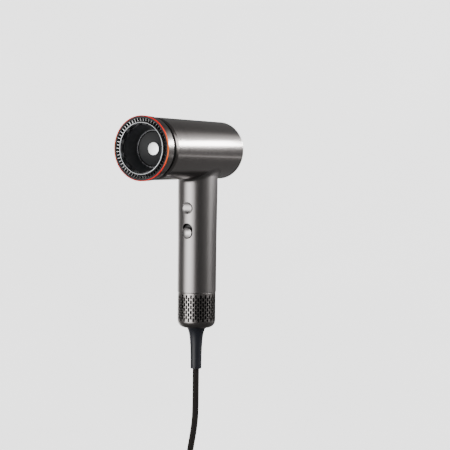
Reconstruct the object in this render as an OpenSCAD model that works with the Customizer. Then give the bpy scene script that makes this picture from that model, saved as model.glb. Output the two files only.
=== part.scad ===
// Hair dryer: a straight barrel head on a round handle, with a ring-shaped
// outlet, a lit front ring, a removable intake filter cover and a hanging cord.
// The origin is on the handle's axis, in the middle of the bare grip.
// +Z runs up the handle to the head, and the outlet faces -Y.

/* [Head] */
// Height of the barrel's axis above the middle of the grip
head_z = 127; // [124:1:132]
// Distance from the handle's axis forward to the front face
head_front = 111; // [109:1:116]
// Distance from the handle's axis back to the rear edge
head_rear = 45; // [45:1:48]
// Radius of the lit ring and of the collar at the front
collar_r = 34.1; // [34:0.1:34.8]
// Radius of the barrel behind the groove
barrel_front_r = 33.1; // [32.8:0.1:33.4]
// Radius of the barrel at its rear edge
barrel_rear_r = 32; // [31.9:0.1:32.4]
// Inside radius of the barrel
barrel_in_r = 30.2; // [29.8:0.1:30.4]
// Length of the front collar
collar_len = 12.5; // [12:0.5:13]
// Width of the black groove behind the collar
groove_w = 4.5; // [4:0.5:5]

/* [Outlet] */
// Number of fins in the ring-shaped outlet
fin_count = 54; // [40:2:60]
// Thickness of one fin
fin_t = 1; // [0.8:0.1:1.4]
// Number of key tabs that a nozzle locks behind
tab_count = 12; // [8:2:14]
// Radius of the bright trim ring round the hollow mouth
trim_r = 27.45; // [27.4:0.05:27.6]

/* [Handle] */
// Radius of the bare grip
grip_r = 21.5; // [21.5:0.1:21.7]
// Radius of the handle where it enters the barrel
neck_r = 22; // [21.9:0.1:22.2]
// Inside radius of the handle
handle_in_r = 19.6; // [19.5:0.1:19.7]
// Lower end of the handle tube, below the middle of the grip
handle_low = 30.4; // [30.4:0.1:31]

/* [Controls] */
// Height of the heat button
heat_z = 63; // [62:0.5:65]
// Height of the power slider in its low, off position
slider_z = 35.8; // [35:0.2:36.4]
// Travel of the power slider
slider_travel = 4; // [3.5:0.5:4]
// Radius of the two knobs
knob_r = 6.2; // [6:0.1:6.2]
// Radius of the round hole and of the slot's ends
knob_hole_r = 6.5; // [6.5:0.1:6.7]

/* [Filter cover] */
// Outside radius of the filter cover
cover_r = 21; // [20.9:0.1:21]
// Number of slot columns round the cover
slot_columns = 48; // [36:4:48]
// Number of slots in one column
slot_rows = 5; // [4:1:5]
// Width of one intake slot
slot_w = 1.9; // [1.6:0.1:2]
// Height of one intake slot
slot_h = 4.3; // [3.8:0.1:4.4]

/* [Cord] */
// Radius of the mains cord
cord_r = 3.6; // [3.6:0.1:3.7]
// Distance between the plug's two pins
pin_gap = 19; // [18.9:0.1:19.1]

/* [Hidden] */
$fn = 96;
lf = head_front;
groove_front = lf - collar_len;
groove_back = groove_front - groove_w;
bezel_r = 31.2;
mirror_r = 22.05;
recess_r = 25.6;
cover_top = -handle_low - 0.2;
slot_pitch = 5.6;
// The folded hank hangs at this place, with the cord entering in front of it
// and leaving behind it
hank_y = 10;
hank_z = -292;
cord_step = 22.3;
tail_z = -385;
// Route of the hanging cord from the boot to the hank
cord_route = [[0, 0, -116.4], [0, 0, -130], [0, 0, -145], [0, 0, -160], [0, -0.6, -172],
              [0, -3, -184], [0, -6.4, -195], [0, -9.8, -205], [0, -11.9, -214],
              [0, -12.3, -219], [0, -12.3, -222]];

// Puts a shape drawn along +Z onto the barrel's axis, with +Z towards the outlet
module on_barrel() { translate([0, 0, head_z]) rotate([90, 0, 0]) children(); }
// A ring from radius a to radius b, between two distances along the axis
module ring(a, b, z0, z1) {
    rotate_extrude() translate([a, z0]) square([b - a, z1 - z0]);
}
// Points, faces and the solid of a round tube along a path
function unit(v) = v / norm(v);
function tangent(p, i) = unit(p[min(i + 1, len(p) - 1)] - p[max(i - 1, 0)]);
function side(t, up) = unit(cross(t, up));
module tube(p, r, n, up) {
    m = len(p);
    pts = [for (i = [0:m - 1]) let (t = tangent(p, i), u = side(t, up), v = cross(u, t))
           for (k = [0:n - 1]) p[i] + r * (cos(360 * k / n) * u + sin(360 * k / n) * v)];
    walls = [for (i = [0:m - 2]) for (k = [0:n - 1]) let (j = (k + 1) % n)
             [i * n + k, i * n + j, (i + 1) * n + j, (i + 1) * n + k]];
    polyhedron(pts, concat([[for (k = [n - 1:-1:0]) k]], walls,
               [[for (k = [0:n - 1]) (m - 1) * n + k]]), convexity = 6);
}

// ---------- head ----------
module head_shell() {
    color([0.36, 0.34, 0.34]) difference() {
        union() {
            on_barrel() rotate_extrude() polygon([[barrel_in_r, groove_back],
                [barrel_front_r - 1.3, groove_back], [barrel_front_r, groove_back - 5],
                [barrel_rear_r, -head_rear + 0.8], [bezel_r, -head_rear],
                [bezel_r, -38.6], [barrel_in_r, -38.6]]);
            on_barrel() for (a = [90, 210, 330]) rotate([0, 0, a])
                translate([27.6, 0, -34]) cylinder(r = 3.2, h = 9);
        }
        translate([0, 0, head_z - 50]) cylinder(r = neck_r, h = 35);
        on_barrel() for (a = [90, 210, 330]) rotate([0, 0, a])
            translate([27.2, 0, -35]) cylinder(r = 1.2, h = 8);
    }
}
module front_collar() {
    color([0.4, 0.38, 0.38]) on_barrel() rotate_extrude() polygon([[31.9, groove_front],
        [collar_r - 0.9, groove_front], [collar_r - 0.4, groove_front + 0.6],
        [collar_r, lf - 1.6], [33.5, lf - 1.6], [33.5, lf - 2.6], [31.9, lf - 2.6]]);
}
module groove_seal() {
    color([0.03, 0.03, 0.03]) on_barrel() union() {
        ring(29.4, 31.2, groove_back, groove_front);
        ring(29.4, barrel_in_r, groove_back - 3, groove_back + 0.5);
        ring(29.4, 31.9, groove_front - 0.5, groove_front + 3);
    }
}
module light_ring() {
    color([0.95, 0.2, 0.05]) on_barrel() rotate_extrude() polygon([[33, lf - 1.6],
        [collar_r, lf - 1.6], [collar_r, lf - 0.5], [collar_r - 0.5, lf], [33, lf]]);
}
module led_board() {
    color([0.1, 0.35, 0.15]) on_barrel() ring(32.1, 33.5, lf - 2.6, lf - 1.6);
}
module outlet_grille() {
    color([0.2, 0.2, 0.2]) on_barrel() union() {
        ring(31.2, 31.9, lf - 9.2, lf - 1.6);
        ring(31.2, 33, lf - 1.6, lf - 0.3);
        ring(trim_r, 28, lf - 9, lf - 0.4);
        for (i = [0:fin_count - 1]) rotate([0, 0, i * 360 / fin_count])
            translate([27.8, -fin_t / 2, lf - 7]) cube([3.6, fin_t, 6.2]);
    }
}
module inner_trim_ring() {
    color([0.85, 0.85, 0.86]) on_barrel() rotate_extrude() polygon([[26.2, lf - 4.5],
        [trim_r, lf - 4.5], [trim_r, lf], [27.25, lf + 0.2], [26.4, lf + 0.2],
        [26.2, lf]]);
}
module bore_liner() {
    funnel = [for (i = [0:8]) let (s = i / 8) [19.7 + 5.3 * pow(s, 1.25), lf - 22.4 + 15.8 * s]];
    color([0.22, 0.22, 0.23]) on_barrel() rotate_extrude() polygon(concat([[26.2, lf - 6.6],
        [26.2, lf - 4.5], [trim_r, lf - 4.5], [trim_r, lf - 9], [26.6, lf - 10.5],
        [26.2, lf - 21], [23.5, lf - 26.5], [19.7, lf - 28]], funnel));
}
module nozzle_key_ring() {
    color([0.3, 0.3, 0.31]) on_barrel() union() {
        ring(25.8, 26.2, lf - 6.6, lf - 2);
        for (i = [0:tab_count - 1]) rotate([0, 0, (i + 0.5) * 360 / tab_count])
            translate([24.7, -2.6, lf - 6.3]) cube([1.3, 5.2, 3.6]);
    }
}
module cup_ring() {
    color([0.04, 0.04, 0.04]) on_barrel() rotate_extrude() polygon([[17.9, lf - 28],
        [19.7, lf - 28], [19.7, lf - 22.2], [19.3, lf - 21.6], [18.4, lf - 21.6],
        [17.9, lf - 22.1]]);
}
module cup_dish() {
    face = [for (i = [0:6]) let (r = 17.9 - i * (17.9 - 6.95) / 6) [r, lf - 24.4 + 2 * pow(r / 17.9, 2)]];
    color([0.3, 0.3, 0.31]) on_barrel() rotate_extrude() polygon(concat([[0, lf - 25.8],
        [0, lf - 28], [17.9, lf - 28]], face, [[6.95, lf - 25.8]]));
}
module centre_cap() {
    color([0.78, 0.78, 0.78]) on_barrel() rotate_extrude() polygon([[0, lf - 25.8],
        [6.95, lf - 25.8], [6.95, lf - 23.4], [6.5, lf - 23], [0, lf - 22.7]]);
}
module rear_bezel() {
    arc = [for (i = [0:8]) let (s = i / 8) [bezel_r - s * (bezel_r - recess_r),
           -head_rear - 0.2 - 1.9 * sin(180 * (0.05 + 0.72 * s))]];
    color([0.42, 0.4, 0.4]) on_barrel() rotate_extrude() polygon(concat([[recess_r, -39],
        [bezel_r, -39]], arc));
}
module rear_recess_ring() {
    color([0.03, 0.03, 0.03]) on_barrel() ring(mirror_r, recess_r, -42.2, -39);
}
module rear_disc() {
    color([0.8, 0.8, 0.8]) on_barrel() rotate_extrude() polygon([[0, -39], [mirror_r, -39],
        [mirror_r, -head_rear - 0.4], [mirror_r - 0.5, -head_rear - 0.9], [0, -head_rear - 0.9]]);
}
module rear_plate() {
    color([0.15, 0.15, 0.15]) on_barrel() difference() {
        cylinder_at(30.1, -36, -34);
        for (a = [90, 210, 330]) rotate([0, 0, a]) translate([27.2, 0, -37]) cylinder(r = 1.6, h = 4);
    }
}
module cylinder_at(r, z0, z1) { translate([0, 0, z0]) cylinder(r = r, h = z1 - z0); }
module rear_screws() {
    color([0.6, 0.6, 0.6]) on_barrel() for (a = [90, 210, 330]) rotate([0, 0, a])
        translate([27.2, 0, 0]) difference() {
            union() { cylinder_at(1.2, -36.2, -27.2); cylinder_at(2.4, -38, -36); }
            translate([0, 0, -39]) cylinder(r = 1.1, h = 2, $fn = 6);
        }
}
module heater_sleeve() {
    color([0.75, 0.68, 0.5]) on_barrel() ring(24, 24.7, 26, 79);
}
module heater_mount() {
    color([0.2, 0.2, 0.2]) on_barrel() union() {
        ring(24.7, 25.7, 30, 36);
        ring(29.2, barrel_in_r, 30, 36);
        for (a = [0:60:300]) rotate([0, 0, a]) translate([25.2, -1, 30]) cube([4.5, 2, 6]);
    }
}
module heater_frame() {
    color([0.8, 0.74, 0.58]) on_barrel() translate([0, 0, 28]) union() {
        translate([-19.4, -0.5, 0]) cube([38.8, 1, 49]);
        translate([-0.5, -19.4, 0]) cube([1, 38.8, 49]);
        for (a = [0:90:270]) rotate([0, 0, a]) translate([18.9, -0.5, 0]) cube([5, 1, 3]);
    }
}
module heater_coil() {
    turns = 7;
    path = [for (i = [0:turns * 16]) let (a = i * 22.5)
            [20.5 * cos(a), 20.5 * sin(a), 34 + 40 * i / (turns * 16)]];
    color([0.55, 0.5, 0.45]) on_barrel() tube(path, 0.8, 6, [0, 0, 1]);
}
module thermostat() {
    color([0.1, 0.1, 0.1]) on_barrel() translate([4, 0.5, 40]) cube([8, 4, 12]);
}
module thermal_fuse() {
    color([0.9, 0.9, 0.85]) on_barrel() translate([-8, 2.4, 40]) cylinder(r = 1.8, h = 12);
}
module ion_emitter() {
    color([0.9, 0.9, 0.9]) on_barrel() union() {
        translate([-4, 25.2, 50]) cube([8, 3.6, 20]);
        translate([0, 27, 69]) cylinder(r1 = 0.9, r2 = 0.3, h = 7);
    }
}

// ---------- handle ----------
module handle_shell() {
    color([0.36, 0.34, 0.34]) difference() {
        rotate_extrude() polygon([[handle_in_r, -handle_low], [grip_r - 0.3, -handle_low],
            [grip_r, -handle_low + 0.3], [grip_r, 29], [neck_r, head_z - 45],
            [neck_r, head_z - 23], [handle_in_r, head_z - 23]]);
        translate([0, 0, heat_z]) rotate([90, 0, 0]) cylinder(r = knob_hole_r, h = 30);
        translate([0, 0, slider_z]) rotate([90, 0, 0]) cylinder(r = knob_hole_r, h = 30);
        translate([0, 0, slider_z + slider_travel]) rotate([90, 0, 0])
            cylinder(r = knob_hole_r, h = 30);
        translate([-knob_hole_r, -30, slider_z]) cube([2 * knob_hole_r, 30, slider_travel]);
        rotate([0, 0, 28]) translate([0, 0, heat_z]) rotate([90, 0, 0])
            cylinder(r = 0.75, h = 30);
    }
}
module inner_frame() {
    color([0.12, 0.12, 0.12]) difference() {
        union() {
            for (s = [-1, 1]) translate([s > 0 ? 12.6 : -15.4, -10.6, 22]) cube([2.8, 5.6, 58]);
            translate([-13, -7.9, 22]) cube([26, 2.9, 3]);
            translate([-13, -7.9, 77]) cube([26, 2.9, 3]);
        }
        translate([-14, -9.5, 24]) cube([28, 1.6, 54]);
    }
}
module control_board() {
    color([0.06, 0.3, 0.14]) translate([-13.9, -9.5, 24.1]) cube([27.8, 1.6, 53.8]);
}
module board_chips() {
    color([0.08, 0.08, 0.08]) union() {
        translate([-4.5, -7.9, 64]) cube([9, 1.4, 9]);
        translate([-9, -7.9, 28]) cube([6, 4.2, 9]);
        translate([3, -7.9, 28]) cube([6, 4.2, 9]);
    }
}
module mains_capacitor() {
    color([0.15, 0.3, 0.6]) translate([-8, -7.9, 42]) cube([16, 7.5, 16]);
}
module tact_switch() {
    color([0.1, 0.1, 0.1]) difference() {
        translate([-3.2, -12.9, heat_z - 3.2]) cube([6.4, 3.4, 6.4]);
        translate([0, -11, heat_z]) rotate([90, 0, 0]) cylinder(r = 1.9, h = 4);
    }
}
module slide_switch() {
    color([0.1, 0.1, 0.1]) difference() {
        translate([-4.5, -14.9, slider_z - 6]) cube([9, 5.4, 16]);
        translate([-1.5, -16, slider_z - 1.5]) cube([3, 3.5, slider_travel + 3]);
    }
}
module status_led() {
    color([0.9, 0.9, 0.9]) rotate([0, 0, 28]) translate([0, -17.5, heat_z])
        rotate([90, 0, 0]) cylinder(r = 0.75, h = 4.1);
}
module heat_button() {
    color([0.45, 0.43, 0.43]) translate([0, 0, heat_z]) rotate([90, 0, 0])
        rotate_extrude() polygon([[0, 12.3], [1.6, 12.3], [1.6, 16], [7.5, 16],
            [7.5, 17.2], [knob_r, 17.2], [knob_r, 21.8], [knob_r - 0.4, 22.2],
            [5, 22], [3.5, 21.6], [1.8, 21.4], [0, 21.35]]);
}
module power_slider() {
    color([0.5, 0.48, 0.48]) translate([0, 0, slider_z]) union() {
        rotate([90, 0, 0]) rotate_extrude() polygon([[0, 17], [knob_r, 17], [knob_r, 21.9],
            [knob_r - 0.5, 22.4], [4, 22.75], [2, 22.9], [0, 22.95]]);
        translate([-7.8, -17.3, -9.3]) cube([15.6, 1.1, 22.4]);
        translate([-1.1, -16.5, -1.1]) cube([2.2, 3.4, 2.2]);
    }
}
module head_leads() {
    color([0.6, 0.1, 0.1]) for (x = [-4, 0, 4]) translate([x, -3.5, 59])
        cylinder(r = 1.1, h = 38);
}

// ---------- motor ----------
module motor_housing() {
    color([0.25, 0.25, 0.26]) union() {
        ring(15.3, 16.4, -27, 15);
        for (z = [-11.5, 8]) {
            ring(4.5, 6, z, z + 3.5);
            for (a = [0:60:300]) rotate([0, 0, a])
                translate([5.4, -0.6, z + 0.4]) cube([10.4, 1.2, 2.7]);
        }
    }
}
module motor_mounts() {
    color([0.05, 0.05, 0.05]) difference() {
        union() { ring(16.4, handle_in_r, -25, -21); ring(16.4, handle_in_r, 9, 13); }
        translate([0, 17.9, -30]) cylinder(r = 2.6, h = 50);
    }
}
module motor_stator() {
    color([0.65, 0.4, 0.2]) union() {
        ring(8, 14, -5.5, 5.5);
        for (a = [0:60:300]) rotate([0, 0, a]) translate([5.8, -2, -5]) cube([3, 4, 10]);
        for (a = [0:90:270]) rotate([0, 0, a]) translate([13.5, -1, -4]) cube([1.8, 2, 8]);
    }
}
module bearings() {
    color([0.7, 0.7, 0.72]) for (z = [-11.5, 8]) ring(2.05, 4.5, z, z + 3.5);
}
module rotor_shaft() {
    color([0.6, 0.6, 0.62]) union() {
        cylinder_at(2, -24, 12.5);
        cylinder_at(5.2, -5.5, 5.5);
        cylinder_at(3, -7.6, 7.6);
    }
}
module impeller() {
    color([0.75, 0.75, 0.77]) union() {
        rotate_extrude() polygon([[2, -24], [3, -24], [6.5, -19], [7.2, -13.4], [2, -13.4]]);
        intersection() {
            for (i = [0:10]) rotate([0, 0, i * 360 / 11]) translate([5, 0, -18.5])
                rotate([38, 0, 0]) translate([0, -0.4, -6]) cube([11, 0.8, 12]);
            ring(4.5, 14.9, -22, -13.8);
        }
    }
}

// ---------- intake, filter cover and cord ----------
module intake_core() {
    color([0.14, 0.14, 0.14]) difference() {
        union() {
            ring(17.4, handle_in_r - 0.05, -30.4, -27.4);
            ring(17.4, 18.6, -64, -30);
            cylinder_at(18, -66, -63);
        }
        for (a = [0:45:135]) rotate([0, 0, a]) translate([-5.2, -22, -60]) cube([10.4, 44, 25]);
        cylinder_at(6.9, -67, -62);
        for (a = [45:90:315]) rotate([0, 0, a]) translate([14.6, 0, -67]) cylinder(r = 2.5, h = 2.6);
        translate([0, 17.9, -32]) cylinder(r = 2.6, h = 6);
    }
}
module filter_mesh() { color([0.45, 0.45, 0.47]) ring(18.6, 19.1, -62, -33); }
module filter_cover() {
    outer = [for (a = [0:10:90]) [cover_r - 8 + 8 * cos(a), -62 - 8 * sin(a)]];
    inner = [for (a = [90:-10:0]) [cover_r - 8 + 6.6 * cos(a), -62 - 6.6 * sin(a)]];
    color([0.4, 0.38, 0.38]) difference() {
        rotate_extrude() polygon(concat([[cover_r, cover_top]], outer, [[11.5, -70],
            [11.5, -68.6]], inner, [[cover_r - 1.4, cover_top]]));
        for (c = [0:slot_columns - 1]) rotate([0, 0, c * 360 / slot_columns])
            for (k = [0:slot_rows - 1])
                translate([cover_r - 2.4, -slot_w / 2,
                           -37 - k * slot_pitch - (c % 2) * slot_pitch / 2])
                    cube([3, slot_w, slot_h]);
    }
}
module catch_ring() { color([0.7, 0.7, 0.7]) ring(11.9, 13.0, -68.6, -67.7); }
module cover_magnets() {
    color([0.75, 0.75, 0.78]) for (a = [45:90:315]) rotate([0, 0, a])
        translate([14.6, 0, -66.4]) cylinder(r = 2.5, h = 2);
}
module cable_clamp() {
    color([0.2, 0.2, 0.2]) difference() {
        translate([-11, -5.5, -63]) cube([22, 11, 8]);
        cylinder_at(cord_r, -64, -54);
        for (x = [-7.5, 7.5]) translate([x, 6, -59]) rotate([90, 0, 0]) cylinder(r = 1.3, h = 10);
    }
}
module clamp_screws() {
    color([0.6, 0.6, 0.6]) for (x = [-7.5, 7.5]) translate([x, 7.1, -59]) rotate([90, 0, 0])
        union() { cylinder(r = 2.4, h = 1.6); cylinder(r = 1.3, h = 10); }
}
module strain_relief() {
    color([0.16, 0.16, 0.18]) rotate_extrude() polygon([[cord_r, -116.4], [5.8, -116.4],
        [6.15, -116], [6.25, -109], [6.4, -101], [6.65, -92], [7.2, -83], [7.9, -78],
        [8.9, -74], [10.2, -71], [11, -69.8], [11, -66], [6.9, -66], [6.9, -63],
        [cord_r, -63]]);
}
module cord_root() {
    color([0.1, 0.08, 0.08]) cylinder_at(cord_r, -116.4, -50);
}
module cord_tube() { color([0.1, 0.08, 0.08]) tube(cord_route, cord_r, 12, [0, 1, 0]); }
// The hank's outer shape: loops that fan out at both ends and are pinched in the middle
function fan(s) = [for (a = [-25:12.5:205]) [25.7 * cos(a), s * (44.3 + 25.7 * sin(a))]];
module cord_hank() {
    color([0.1, 0.08, 0.08]) translate([0, hank_y, hank_z]) intersection() {
        rotate([90, 0, 0]) translate([0, 0, -30]) linear_extrude(60)
            polygon(concat([[15.2, 0], [15.2, 8]], fan(1), [[-15.2, 8], [-15.2, -8]],
                           [for (i = [len(fan(-1)) - 1:-1:0]) fan(-1)[i]], [[15.2, -8]]));
        rotate([90, 0, 90]) translate([0, 0, -30]) linear_extrude(60)
            polygon([[26, 72], [26, 34], [16.2, 8], [16.2, -8], [26, -34], [26, -72],
                     [-26, -72], [-26, -34], [-16.2, -8], [-16.2, 8], [-26, 34], [-26, 72]]);
    }
}
module cord_tie() {
    color([0.05, 0.05, 0.05]) translate([0, hank_y, hank_z]) difference() {
        translate([-17.4, -18.4, -7]) cube([34.8, 36.8, 14]);
        translate([-15.2, -16.2, -8]) cube([30.4, 32.4, 16]);
    }
}
module cord_tail() {
    color([0.1, 0.08, 0.08]) translate([0, hank_y + cord_step, tail_z])
        cylinder(r = cord_r, h = hank_z - 70 - tail_z);
}
module plug_body() {
    color([0.08, 0.08, 0.08]) translate([0, hank_y + cord_step, tail_z]) union() {
        translate([0, 0, -17]) cylinder(r1 = 8.4, r2 = 5, h = 17);
        translate([0, 0, -40]) linear_extrude(24.5) union() {
            for (x = [-9.5, 9.5]) translate([x, 0]) circle(r = 7);
            translate([-9.5, -6.9]) square([19, 13.8]);
        }
    }
}
module plug_pins() {
    color([0.8, 0.8, 0.8]) translate([0, hank_y + cord_step, tail_z - 59])
        for (x = [-pin_gap / 2, pin_gap / 2]) translate([x, 0, 0]) cylinder(r = 2.4, h = 19);
}

head_shell();
front_collar();
groove_seal();
light_ring();
led_board();
outlet_grille();
inner_trim_ring();
bore_liner();
nozzle_key_ring();
cup_ring();
cup_dish();
centre_cap();
rear_bezel();
rear_recess_ring();
rear_disc();
rear_plate();
rear_screws();
heater_sleeve();
heater_mount();
heater_frame();
heater_coil();
thermostat();
thermal_fuse();
ion_emitter();
handle_shell();
inner_frame();
control_board();
board_chips();
mains_capacitor();
tact_switch();
slide_switch();
status_led();
heat_button();
power_slider();
head_leads();
motor_housing();
motor_mounts();
motor_stator();
bearings();
rotor_shaft();
impeller();
intake_core();
filter_mesh();
filter_cover();
catch_ring();
cover_magnets();
cable_clamp();
clamp_screws();
strain_relief();
cord_root();
cord_tube();
cord_hank();
cord_tie();
cord_tail();
plug_body();
plug_pins();
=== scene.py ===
import math

import bmesh
import bpy
import numpy as np
from mathutils import Matrix, Vector


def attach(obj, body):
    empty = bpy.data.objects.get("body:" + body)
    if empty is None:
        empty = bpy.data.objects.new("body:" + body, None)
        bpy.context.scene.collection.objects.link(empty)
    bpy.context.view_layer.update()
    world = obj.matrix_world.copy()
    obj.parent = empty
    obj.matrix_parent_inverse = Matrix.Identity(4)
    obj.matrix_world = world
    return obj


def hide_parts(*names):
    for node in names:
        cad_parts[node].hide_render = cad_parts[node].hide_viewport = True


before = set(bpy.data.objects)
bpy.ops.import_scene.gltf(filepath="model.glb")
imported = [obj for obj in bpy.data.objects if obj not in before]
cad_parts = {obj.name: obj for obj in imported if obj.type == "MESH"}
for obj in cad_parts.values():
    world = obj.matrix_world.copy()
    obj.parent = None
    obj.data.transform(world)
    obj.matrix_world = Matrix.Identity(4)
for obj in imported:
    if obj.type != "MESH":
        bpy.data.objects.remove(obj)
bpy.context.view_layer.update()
MM = 0.001
HZ = 127.0          # height of the barrel's axis above the origin, mm
TAU = 2 * math.pi
# All sizes below are in mm, and w is the distance along the barrel, forwards from the handle's axis.
BARREL_R0, BARREL_W0 = 33.1, 89.2   # front end of the barrel's taper
BARREL_R1, BARREL_W1 = 32.0, -43.9  # rear end of it
GRIP_R, NECK_R = 21.5, 22.0         # handle's outer radius below its flare, and at the barrel
HANDLE_IN_R = 19.6
SLEEVE_R, SLEEVE_IN_R = 21.0, 19.6  # filter sleeve
CONTROL_R = 6.5                     # radius of the handle's two openings
BUTTON_Z, SLIDER_Z, SLIDER_TRAVEL = 63, 35.8, 4
FACE_R, FACE_W = 5.3, 21.85         # heat button's hollowed face
MOUTH_TABS, FINS = 12, 54
HANK_Y, HANK_Z = 10, -292           # middle of the folded cord
PLUG_Y, PLUG_Z = 32.3, -385         # top of the plug


# ---------------------------------------------------------------- mesh helpers
def new_object(name, verts, faces, smooth=35, mat=None):
    me = bpy.data.meshes.new(name)
    me.from_pydata([tuple(c * MM for c in v) for v in verts], [], faces)
    me.update()
    ob = bpy.data.objects.new(name, me)
    bpy.context.scene.collection.objects.link(ob)
    finish_mesh(ob, smooth)
    if mat:
        me.materials.append(mat)
    return ob


def finish_mesh(ob, smooth=35):
    me = ob.data
    bm = bmesh.new()
    bm.from_mesh(me)
    bmesh.ops.recalc_face_normals(bm, faces=bm.faces)
    bm.to_mesh(me)
    bm.free()
    me.shade_smooth()
    me.set_sharp_from_angle(angle=math.radians(smooth))


def fillet(points, steps=5):
    """Rounds the corners of a profile. A point is (r, w) or (r, w, corner radius)."""
    out = []
    n = len(points)
    for i, p in enumerate(points):
        rad = p[2] if len(p) > 2 else 0
        if not rad or i in (0, n - 1):
            out.append((p[0], p[1]))
            continue
        a = Vector(points[i - 1][:2]) - Vector(p[:2])
        b = Vector(points[i + 1][:2]) - Vector(p[:2])
        la, lb = a.length, b.length
        a.normalize()
        b.normalize()
        ang = a.angle(b)
        if ang > math.radians(176):
            out.append((p[0], p[1]))
            continue
        cut = min(rad / math.tan(ang / 2), la * 0.49, lb * 0.49)
        rad = cut * math.tan(ang / 2)
        mid = (a + b).normalized()
        c = Vector(p[:2]) + mid * (rad / math.sin(ang / 2))
        s = Vector(p[:2]) + a * cut - c
        e = Vector(p[:2]) + b * cut - c
        turn = s.angle(e)
        sign = 1 if s.x * e.y - s.y * e.x > 0 else -1
        for k in range(steps + 1):
            t = sign * turn * k / steps
            out.append((c.x + s.x * math.cos(t) - s.y * math.sin(t),
                        c.y + s.x * math.sin(t) + s.y * math.cos(t)))
    return out


def on_barrel(r, a, w):
    return (r * math.cos(a), -w, HZ + r * math.sin(a))


def on_handle(r, a, z):
    return (r * math.cos(a), r * math.sin(a), z)


def lathe(name, profile, place, segs=160, closed=True, smooth=35, mat=None, steps=5):
    """Turns a profile of (r, w) points about an axis. place maps (r, angle, w) to the row frame."""
    pts = fillet(profile + profile[:1] if closed else profile, steps)
    if closed:
        pts = pts[:-1]
    verts, faces, rows = [], [], []
    for r, w in pts:
        if r < 1e-6:
            rows.append([len(verts)])
            verts.append(place(0, 0, w))
        else:
            rows.append(list(range(len(verts), len(verts) + segs)))
            verts += [place(r, TAU * k / segs, w) for k in range(segs)]
    m = len(rows)
    for i in range(m if closed else m - 1):
        a, b = rows[i], rows[(i + 1) % m]
        if len(a) == 1 and len(b) == 1:
            continue
        for k in range(segs):
            j = (k + 1) % segs
            if len(a) == 1:
                faces.append((a[0], b[k], b[j]))
            elif len(b) == 1:
                faces.append((a[k], b[0], a[j]))
            else:
                faces.append((a[k], b[k], b[j], a[j]))
    return new_object(name, verts, faces, smooth, mat)


def ring_faces(rings, m, closed=False):
    """Quads between rings of m points. closed joins the last ring to the first."""
    return [(i * m + k, i * m + (k + 1) % m, (i + 1) % rings * m + (k + 1) % m, (i + 1) % rings * m + k)
            for i in range(rings if closed else rings - 1) for k in range(m)]


def end_caps(rings, m):
    return [tuple(range(m)), tuple(range(rings * m - 1, (rings - 1) * m - 1, -1))]


def tube_mesh(name, path, radius, sides, mat):
    """A round tube along a path in mm, with a twist-free frame. UVs are turns round and mm along."""
    p = [Vector(q) for q in path]
    n = len(p)
    t = [(p[min(i + 1, n - 1)] - p[max(i - 1, 0)]).normalized() for i in range(n)]
    u = Vector((0, 1, 0)).cross(t[0])
    u.normalize()
    verts, along, s = [], [], 0.0
    for i in range(n):
        if i:
            u = (u - t[i] * u.dot(t[i])).normalized()
            s += (p[i] - p[i - 1]).length
        along.append(s)
        v = t[i].cross(u)
        for k in range(sides):
            a = TAU * k / sides
            verts.append(tuple(p[i] + radius * (math.cos(a) * u + math.sin(a) * v)))
    faces = ring_faces(n, sides)
    uvs = [[(k / sides, along[i]), ((k + 1) / sides, along[i]),
            ((k + 1) / sides, along[i + 1]), (k / sides, along[i + 1])]
           for i in range(n - 1) for k in range(sides)]
    faces.append(tuple(range(sides - 1, -1, -1)))
    uvs.append([(0, 0)] * sides)
    faces.append(tuple((n - 1) * sides + k for k in range(sides)))
    uvs.append([(0, along[-1])] * sides)
    me = bpy.data.meshes.new(name)
    me.from_pydata([tuple(c * MM for c in v) for v in verts], [], faces)
    me.update()
    lay = me.uv_layers.new(name="UVMap")
    for i, c in enumerate(c for f in uvs for c in f):
        lay.data[i].uv = c
    ob = bpy.data.objects.new(name, me)
    bpy.context.scene.collection.objects.link(ob)
    me.shade_smooth()
    me.set_sharp_from_angle(angle=math.radians(50))
    me.materials.append(mat)
    return ob


def join_meshes(name, parts, mat=None, smooth=35):
    """Joins lists of (verts, faces) into one object."""
    verts, faces = [], []
    for v, f in parts:
        o = len(verts)
        verts += list(v)
        faces += [tuple(i + o for i in q) for q in f]
    return new_object(name, verts, faces, smooth, mat)


def add_bevel(ob, width):
    m = ob.modifiers.new("bevel", "BEVEL")
    m.width = width * MM
    m.segments = 2
    m.limit_method = "ANGLE"
    m.angle_limit = math.radians(30)
    apply_modifiers(ob)


def apply_modifiers(ob):
    dg = bpy.context.evaluated_depsgraph_get()
    me = bpy.data.meshes.new_from_object(ob.evaluated_get(dg))
    mats = list(ob.data.materials)
    ob.modifiers.clear()
    ob.data = me
    if not me.materials:
        for m in mats:
            me.materials.append(m)
    me.shade_smooth()
    me.set_sharp_from_angle(angle=math.radians(35))


# ---------------------------------------------------------------- camera
FOCAL_PX, FRAME_PX, SENSOR_MM = 1280.98, 450, 36
CAMERA_AT = (758.204, -1201.106, 113.973)
CAMERA_ANGLES = (31.027, 2.818, 0.672)      # yaw, pitch, roll


def make_camera():
    yaw, pitch, roll = (math.radians(v) for v in CAMERA_ANGLES)
    back = Vector((math.sin(yaw) * math.cos(pitch), -math.cos(yaw) * math.cos(pitch),
                   math.sin(pitch)))
    right = Vector((math.cos(yaw), math.sin(yaw), 0))
    up = back.cross(right)
    r2 = math.cos(roll) * right + math.sin(roll) * up
    u2 = -math.sin(roll) * right + math.cos(roll) * up
    cam = bpy.data.cameras.new("camera")
    cam.sensor_width = SENSOR_MM
    cam.lens = FOCAL_PX / FRAME_PX * SENSOR_MM
    cam.clip_start, cam.clip_end = 0.05, 50
    ob = bpy.data.objects.new("camera", cam)
    bpy.context.scene.collection.objects.link(ob)
    m = Matrix.Identity(4)
    for i in range(3):
        m[i][0], m[i][1], m[i][2], m[i][3] = r2[i], u2[i], back[i], CAMERA_AT[i] * MM
    ob.matrix_world = m
    bpy.context.scene.camera = ob


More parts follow.
